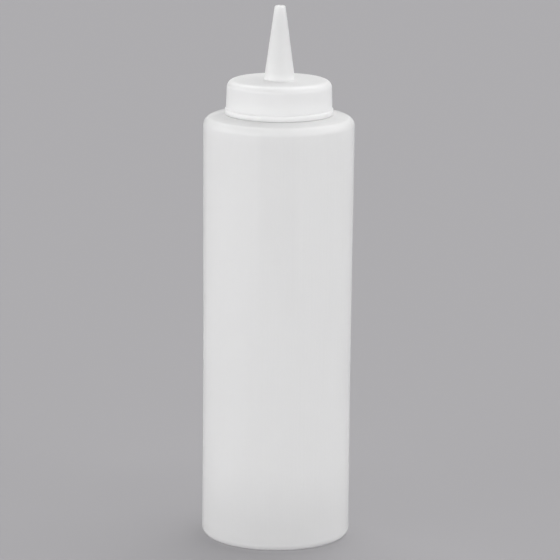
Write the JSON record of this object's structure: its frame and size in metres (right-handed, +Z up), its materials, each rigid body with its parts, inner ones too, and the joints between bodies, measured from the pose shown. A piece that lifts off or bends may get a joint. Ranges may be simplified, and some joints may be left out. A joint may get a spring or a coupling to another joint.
{
  "type": "squeeze bottle",
  "caption": "Tall round squeeze bottle of translucent soft plastic with a white screw cap that rises into a pointed pouring nozzle.",
  "frame": {"origin": "middle of the flat ring under the base, on the surface the bottle stands on", "axes": "+Z up along the bottle's axis towards the nozzle; -Y is the side towards the viewer"},
  "size_m": [0.057, 0.057, 0.2045],
  "materials": {
    "natural_plastic": "translucent natural plastic, satin, faintly cloudy",
    "white_plastic": "milky white plastic, semi-gloss"
  },
  "bodies": {
    "root": {"bottle": "natural_plastic", "cap": "white_plastic"}
  },
  "joints": []
}
